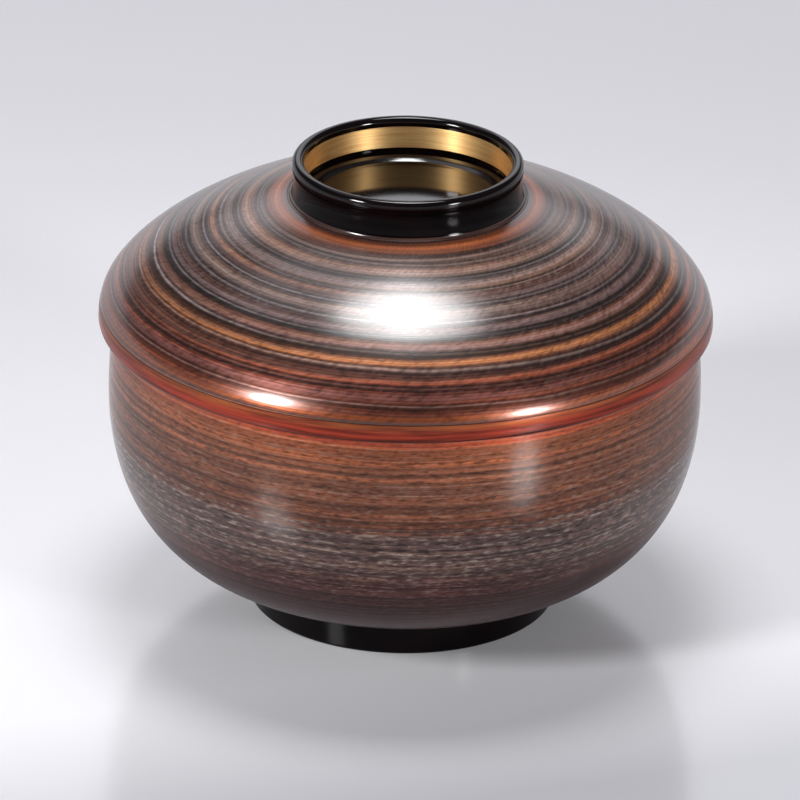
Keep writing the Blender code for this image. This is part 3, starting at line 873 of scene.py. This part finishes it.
slotLow = goldLow.z - knobPlan["goldGap"]
slotHigh = goldHigh.z + knobPlan["goldGap"]
goldSlot = [(knobIn, slotLow), (slotOut, slotLow), (slotOut, slotHigh), (knobIn, slotHigh)]
knobRuns = [(lipBlack, lipOut), (black, side), (umberSheenLacquer, fillet), (black, base + goldSlot)]
knobRuns.append((lipBlack, lipIn))
turnPiece("knobRing", knobRuns, 0, "lid", "lid_knob_ring", closed=True)

goldOut = goldHigh.x
bevel = knobPlan["goldBevel"]
goldFace = line((knobIn + bevel, goldLow.z), (knobIn, goldLow.z + bevel), knobPlan["bevelSteps"])
goldFace += line((knobIn, goldLow.z + bevel), (knobIn, goldHigh.z - bevel), knobPlan["goldSteps"])
goldFace += [(knobIn, goldHigh.z - bevel), (knobIn + bevel, goldHigh.z)]
turnPiece("goldBand", [(gold, [(goldOut, goldHigh.z), (goldOut, goldLow.z)] + goldFace)], 0,
          "lid", "knob_gold_band", closed=True)
print("pieces turned")


# Studio: a wide round pale board with a raised edge, one soft box overhead and two lamps in front

stagePlan = {
    "front": "#bebec4", "near": "#ededf1", "far": "#f7f6fb",
    "paintedShadeWay": (-0.35, 1.0, 0.0),  # painted shade, darker towards the front right
    "paintedShadeFrom": -0.12, "paintedShadeTo": 0.32,  # metres along that way; the shades are shares of the stretch
    "paintedShades": [(0.03, "front"), (0.18, "near"), (0.45, "near"), (1.0, "far")],
    "glow": "#eae9ee",  # the pale backdrop that the far board turns into
    "glowFrom": 0.15, "glowTo": 1.8,  # metres
    "glowLeast": 0.05, "glowMost": 0.75,
    "grain": 3.33,  # mm
    "roughLow": 0.14, "roughHigh": 0.21,
    "flatRings": (0.3, 1.0, 2.2),  # metres, rings of points on the flat part
    "radius": 7.7,  # metres, wide enough for the camera to stand on it in any view
    "sweep": 1.4,
    "sweepStep": 10,  # degrees
    "edge": 1.75,
    "flats": 72,
}

boardLine = [(radius, 0.0) for radius in (*stagePlan["flatRings"], stagePlan["radius"])]
for degrees in range(stagePlan["sweepStep"], 91, stagePlan["sweepStep"]):
    a = math.radians(degrees)
    boardLine.append((stagePlan["radius"] + stagePlan["sweep"] * math.sin(a),
                      stagePlan["sweep"] * (1 - math.cos(a))))
boardLine.append((stagePlan["radius"] + stagePlan["sweep"], stagePlan["edge"]))
flats = stagePlan["flats"]
turnAngles = [2 * math.pi * j / flats for j in range(flats)]
boardPoints = [(radius * math.cos(a), radius * math.sin(a), height)
               for radius, height in boardLine for a in turnAngles] + [(0.0, 0.0, 0.0)]
boardFaces = [(len(boardPoints) - 1, j, (j + 1) % flats) for j in range(flats)]
for i in range(len(boardLine) - 1):
    inner = i * flats
    outer = inner + flats
    boardFaces += [(inner + j, outer + j, outer + (j + 1) % flats, inner + (j + 1) % flats)
                   for j in range(flats)]
boardMesh = bpy.data.meshes.new("board")
boardMesh.from_pydata(boardPoints, [], boardFaces)
boardMesh.shade_smooth()
addObject("board", boardMesh)

# Satin white laminate: pale and faintly glossy, so the lamps and the bowl show in it softly.
boardMat = startFinish("satin white board")
boardPlace = addNode(boardMat, "ShaderNodeTexCoord").outputs["Object"]
grain = addNode(boardMat, "ShaderNodeTexNoise", {
    "Vector": boardPlace, "Scale": mmInMetre / stagePlan["grain"], "Detail": 2.0})
boardRough = addNode(boardMat, "ShaderNodeMapRange", {
    "Value": grain, "To Min": stagePlan["roughLow"], "To Max": stagePlan["roughHigh"]})
# painted shade: the board's colour darkens in front of the bowl
boardWay = addNode(boardMat, "ShaderNodeVectorMath", {0: boardPlace, 1: stagePlan["paintedShadeWay"]},
    operation="DOT_PRODUCT").outputs["Value"]
paintedBoardShade = addNode(boardMat, "ShaderNodeMapRange", {
    "Value": boardWay, "From Min": stagePlan["paintedShadeFrom"], "From Max": stagePlan["paintedShadeTo"]})
boardColour = addNode(boardMat, "ShaderNodeValToRGB", {"Fac": paintedBoardShade},
    stops=[(at, hexColour(stagePlan[shade])) for at, shade in stagePlan["paintedShades"]])
boardShader = addNode(boardMat, "ShaderNodeBsdfPrincipled", {
    "Base Color": boardColour, "Roughness": boardRough, "IOR": 1.6})
boardGlow = addNode(boardMat, "ShaderNodeEmission", {"Color": hexColour(stagePlan["glow"])})
rays = addNode(boardMat, "ShaderNodeLightPath").outputs
seen = addNode(boardMat, "ShaderNodeMath", {0: rays["Is Camera Ray"], 1: rays["Is Glossy Ray"]},
    operation="MAXIMUM")
seen = addNode(boardMat, "ShaderNodeMath", {0: seen, 1: rays["Is Transmission Ray"]}, operation="MAXIMUM")
boardFar = addNode(boardMat, "ShaderNodeVectorMath", {0: boardPlace}, operation="LENGTH").outputs["Value"]
glowAt = addNode(boardMat, "ShaderNodeMapRange", {
    "Value": boardFar, "From Min": stagePlan["glowFrom"], "From Max": stagePlan["glowTo"],
    "To Min": stagePlan["glowLeast"], "To Max": stagePlan["glowMost"]})
glowPart = addNode(boardMat, "ShaderNodeMath", {0: seen, 1: glowAt}, operation="MULTIPLY")
boardMix = addNode(boardMat, "ShaderNodeMixShader", {0: glowPart, 1: boardShader, 2: boardGlow})
addNode(boardMat, "ShaderNodeOutputMaterial", {"Surface": boardMix})
boardMesh.materials.append(boardMat)

lampPlan = [
    # name, azimuth from the front, elevation, distance, width, height, spread in degrees, watts
    ("overheadBox", 180, 82.1, 0.604, 0.32, 0.18, 50, 0.175),  # its grid keeps the light on the lid
    ("leftLamp", -52, 28, 1.25, 0.26, 0.34, 180, 10.7),
    ("rightLamp", 46, 14, 1.25, 0.22, 0.28, 180, 7.2),
]
lampAim = Vector((0.0, 0.0, 0.07))  # metres, a point inside the bowl

for name, azimuth, elevation, distance, wide, tall, spread, watts in lampPlan:
    a = math.radians(azimuth)
    e = math.radians(elevation)
    lamp = bpy.data.lights.new(name, "AREA")
    lamp.shape = "ELLIPSE"
    lamp.size = wide
    lamp.size_y = tall
    lamp.spread = math.radians(spread)
    lamp.energy = watts
    lampObject = addObject(name, lamp)
    away = Vector((math.sin(a) * math.cos(e), -math.cos(a) * math.cos(e), math.sin(e)))
    lampObject.location = lampAim + away * distance
    lampObject.rotation_euler = away.to_track_quat("Z", "Y").to_euler()

# the room is dim, with three pale patches for the lacquer to mirror
roomPlan = {"tint": "#f8f8ff", "dim": 0.1}
glowPlan = [
    # azimuth from straight behind, elevation, reach in degrees, how narrow it is across, brightness
    (0.0, 77.0, 19.0, 3.0, 2.8),  # a strip of ceiling above and behind the bowl
    (0.0, 28.0, 18.0, 0.6, 1.55),  # a wall low behind it
    (-31.0, 58.0, 17.0, 1.0, 0.8),  # a patch high behind it at the left
]

world = bpy.data.worlds.new("room")
world.use_nodes = True
world.node_tree.nodes.clear()
sky = addNode(world, "ShaderNodeTexCoord").outputs["Generated"]
skyGlow = roomPlan["dim"]
for azimuth, elevation, reach, narrow, bright in glowPlan:
    a = math.radians(azimuth)
    e = math.radians(elevation)
    aimTo = (math.sin(a) * math.cos(e), math.cos(a) * math.cos(e), math.sin(e))
    pinched = addNode(world, "ShaderNodeVectorMath", {0: sky, 1: (narrow, 1.0, 1.0)}, operation="MULTIPLY")
    pinched = addNode(world, "ShaderNodeVectorMath", {0: pinched}, operation="NORMALIZE")
    near = addNode(world, "ShaderNodeVectorMath", {0: pinched, 1: aimTo},
        operation="DOT_PRODUCT").outputs["Value"]
    glow = addNode(world, "ShaderNodeMapRange", {
        "Value": near, "From Min": math.cos(math.radians(reach)), "From Max": 1.0, "To Max": bright},
        interpolation_type="SMOOTHSTEP")
    skyGlow = addNode(world, "ShaderNodeMath", {0: glow, 1: skyGlow}, operation="ADD")
room = addNode(world, "ShaderNodeBackground", {"Color": hexColour(roomPlan["tint"]), "Strength": skyGlow})
addNode(world, "ShaderNodeOutputWorld", {"Surface": room})
bpy.context.scene.world = world
print("studio set")


# Camera: above the table, far off with a long lens, leaning a little as the photograph does

cameraPlan = {
    "elevation": 24.0,  # degrees
    "lean": 0.85,  # degrees
    "distance": 2.4,  # metres
    "lens": 509.1,  # mm
    "sensor": 36.0,  # mm
    "pixels": 800,  # across the picture
    "aimHigh": 0.04437,  # metres
    "aside": 4.5,  # pixels that the bowl stands right of the middle
    "reach": 40.0,  # metres, past the far edge of the board
}

e = math.radians(cameraPlan["elevation"])
t = math.radians(cameraPlan["lean"])
across = Vector((1.0, 0.0, 0.0))
upward = Vector((0.0, math.sin(e), math.cos(e)))
back = Vector((0.0, -math.cos(e), math.sin(e)))
right = across * math.cos(t) + upward * math.sin(t)
up = upward * math.cos(t) - across * math.sin(t)
lens = bpy.data.cameras.new("camera")
lens.lens = cameraPlan["lens"]
lens.sensor_width = cameraPlan["sensor"]
lens.clip_end = cameraPlan["reach"]
camera = addObject("camera", lens)
pixel = cameraPlan["distance"] * cameraPlan["sensor"] / cameraPlan["lens"] / cameraPlan["pixels"]  # metres
aimPoint = Vector((0.0, 0.0, cameraPlan["aimHigh"])) - right * cameraPlan["aside"] * pixel
eyePoint = aimPoint + back * cameraPlan["distance"]
camera.matrix_world = Matrix.Translation(eyePoint) @ Matrix((right, up, back)).transposed().to_4x4()
bpy.context.scene.camera = camera

bpy.context.scene.view_settings.view_transform = "Standard"
